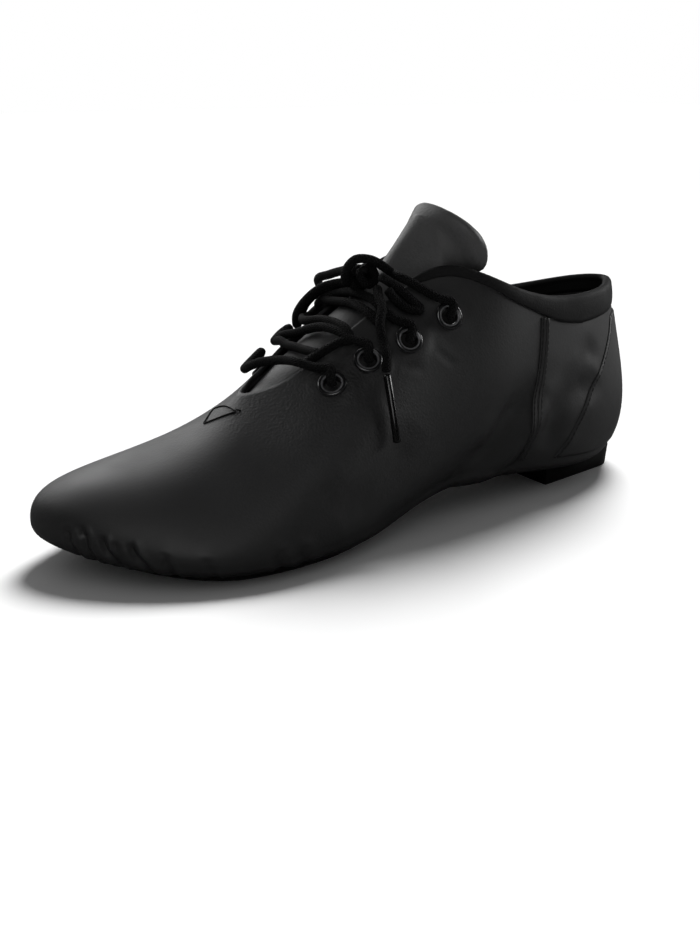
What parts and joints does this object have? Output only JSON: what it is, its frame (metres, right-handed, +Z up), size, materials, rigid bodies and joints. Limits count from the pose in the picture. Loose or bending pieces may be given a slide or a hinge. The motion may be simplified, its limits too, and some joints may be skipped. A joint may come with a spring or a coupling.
{
  "type": "jazz_shoe",
  "caption": "Black leather lace-up jazz shoe for the left foot, with a split suede sole, a low rubber heel, a soft collar band and a tied round lace",
  "frame": {"origin": "centre of the heel's bottom face, on the floor", "axes": "+X towards the toe, +Y to the wearer's left, the outer side of this left shoe, +Z up"},
  "size_m": [0.2442, 0.086, 0.1087],
  "materials": {
    "leather": "satin",
    "suede": "matte",
    "rubber": "matte",
    "elastic": "matte",
    "enamel": "gloss",
    "lace": "matte",
    "aglet": "satin",
    "lining": "matte"
  },
  "bodies": {
    "root": {"aglet": "aglet", "collar_band": "elastic", "counter": "leather", "eyelet_lateral_1": "enamel", "eyelet_lateral_2": "enamel", "eyelet_lateral_3": "enamel", "eyelet_lateral_4": "enamel", "eyelet_medial_1": "enamel", "eyelet_medial_2": "enamel", "eyelet_medial_3": "enamel", "eyelet_medial_4": "enamel", "heel": "rubber", "insole": "lining", "lace_bars": "lace", "lace_end_lateral": "lace", "lace_end_medial": "lace", "lace_knot": "lace", "lace_loop_lateral": "lace", "lace_loop_medial": "lace", "side_strip_lateral": "leather", "side_strip_medial": "leather", "sole_arch": "leather", "sole_pad": "suede", "tongue": "leather", "upper": "leather"}
  },
  "joints": []
}
